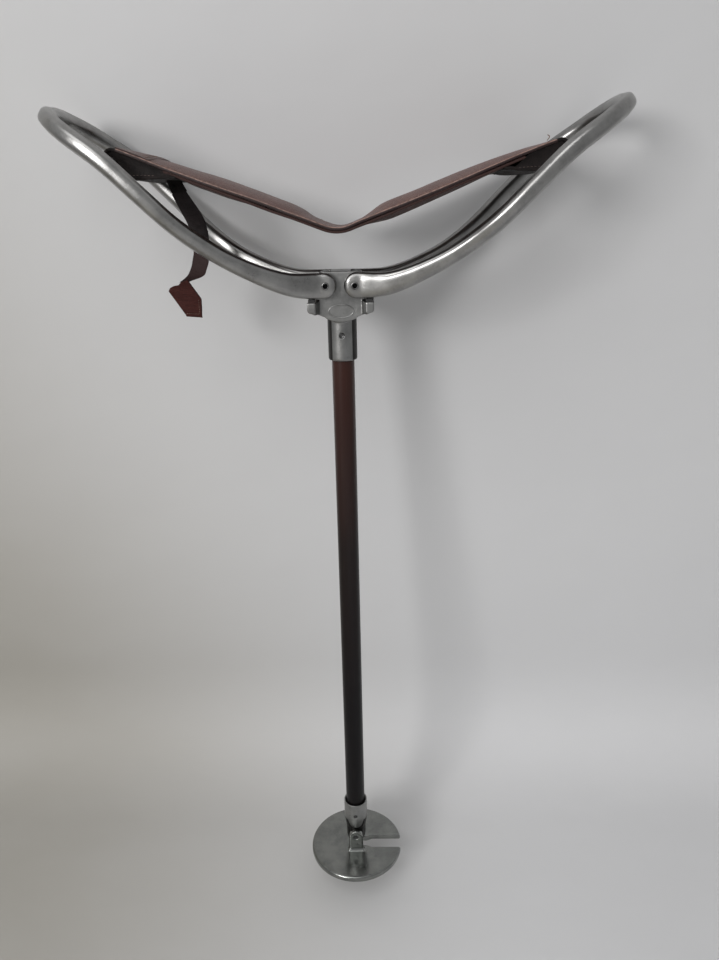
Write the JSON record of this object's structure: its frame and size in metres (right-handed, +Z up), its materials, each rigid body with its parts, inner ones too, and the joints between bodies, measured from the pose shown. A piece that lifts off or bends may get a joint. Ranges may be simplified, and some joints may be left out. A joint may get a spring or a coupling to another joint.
{
  "type": "walking stick seat",
  "caption": "Walking stick that opens into a seat: two hinged handle loops carry a leather sling over a shaft with a hinged ground plate and spike.",
  "frame": {"origin": "the tip of the ground spike, on the shaft's axis", "axes": "+Z up along the shaft, +X towards the open end of the ground plate's slot and the right handle loop, +Y towards the back"},
  "size_m": [0.4388, 0.1208, 0.7571],
  "materials": {
    "brown_enamel": "glossy, darker towards the foot",
    "cast_aluminium": "polished casting, worn and scuffed",
    "polished_aluminium": "satin, scuffed",
    "pin_steel": "worn steel",
    "rivet_steel": "flush rivet",
    "dark_rivet": "dark, worn",
    "spike_steel": "satin steel",
    "black_rubber": "matte",
    "brown_leather": "aged, semi-gloss",
    "dark_leather": "worn, matte",
    "padding": "felt"
  },
  "bodies": {
    "stick": {"shaft": "brown_enamel", "head_casting": "cast_aluminium", "collar_rivet": "rivet_steel", "stop_buffers": "black_rubber", "right_pivot_pin": "pin_steel", "left_pivot_pin": "pin_steel", "pivot_washers": "pin_steel", "ferrule": "cast_aluminium", "ferrule_rivet": "dark_rivet", "ground_spike": "spike_steel"},
    "right_handle": {"right_handle_loop": "cast_aluminium", "right_cross_rod": "pin_steel"},
    "left_handle": {"left_handle_loop": "cast_aluminium", "left_cross_rod": "pin_steel"},
    "seat_middle": {"seat_fold_strip": "brown_leather"},
    "right_seat": {"right_seat_top": "brown_leather", "right_seat_padding": "padding", "right_seat_lining": "dark_leather"},
    "left_seat": {"left_seat_top": "brown_leather", "left_seat_padding": "padding", "left_seat_lining": "dark_leather", "strap_hanger": "brown_leather", "strap_rivet": "dark_rivet"},
    "strap": {"closing_strap": "brown_leather"},
    "plate": {"ground_plate": "polished_aluminium", "plate_hinge_pin": "pin_steel"}
  },
  "joints": [
    {"name": "right_handle_fold", "type": "hinge", "parent": "stick", "child": "right_handle", "pos_m": [0.0116, 0, 0.6242], "axis": [0, -1, 0], "range_deg": [0, 56.5]},
    {"name": "left_handle_fold", "type": "hinge", "parent": "stick", "child": "left_handle", "pos_m": [-0.0116, 0, 0.6242], "axis": [0, 1, 0], "range_deg": [0, 56.5]},
    {"name": "seat_middle_drop", "type": "slide", "parent": "stick", "child": "seat_middle", "axis": [0, 0, -1], "range_m": [0, 0.0284]},
    {"name": "right_seat_fold", "type": "hinge", "parent": "seat_middle", "child": "right_seat", "pos_m": [0.0063, 0, 0.669], "axis": [0, -1, 0], "range_deg": [0, 69.9]},
    {"name": "left_seat_fold", "type": "hinge", "parent": "seat_middle", "child": "left_seat", "pos_m": [-0.0063, 0, 0.669], "axis": [0, 1, 0], "range_deg": [0, 69.9]},
    {"name": "strap_swing", "type": "hinge", "parent": "left_seat", "child": "strap", "pos_m": [-0.1266, -0.006, 0.6998], "axis": [0, -1, 0], "range_deg": [0, 40]},
    {"name": "plate_fold", "type": "hinge", "parent": "stick", "child": "plate", "pos_m": [0, 0, 0.057], "axis": [0, 1, 0], "range_deg": [0, 90]}
  ],
  "couplings": [
    {"joint": "left_handle_fold", "follows": "right_handle_fold", "ratio": 1},
    {"joint": "seat_middle_drop", "follows": "right_handle_fold", "m_per_rad": 0.0287},
    {"joint": "right_seat_fold", "follows": "right_handle_fold", "ratio": 1.2354},
    {"joint": "left_seat_fold", "follows": "right_handle_fold", "ratio": 1.2354},
    {"joint": "strap_swing", "follows": "right_handle_fold", "ratio": 0.7}
  ]
}
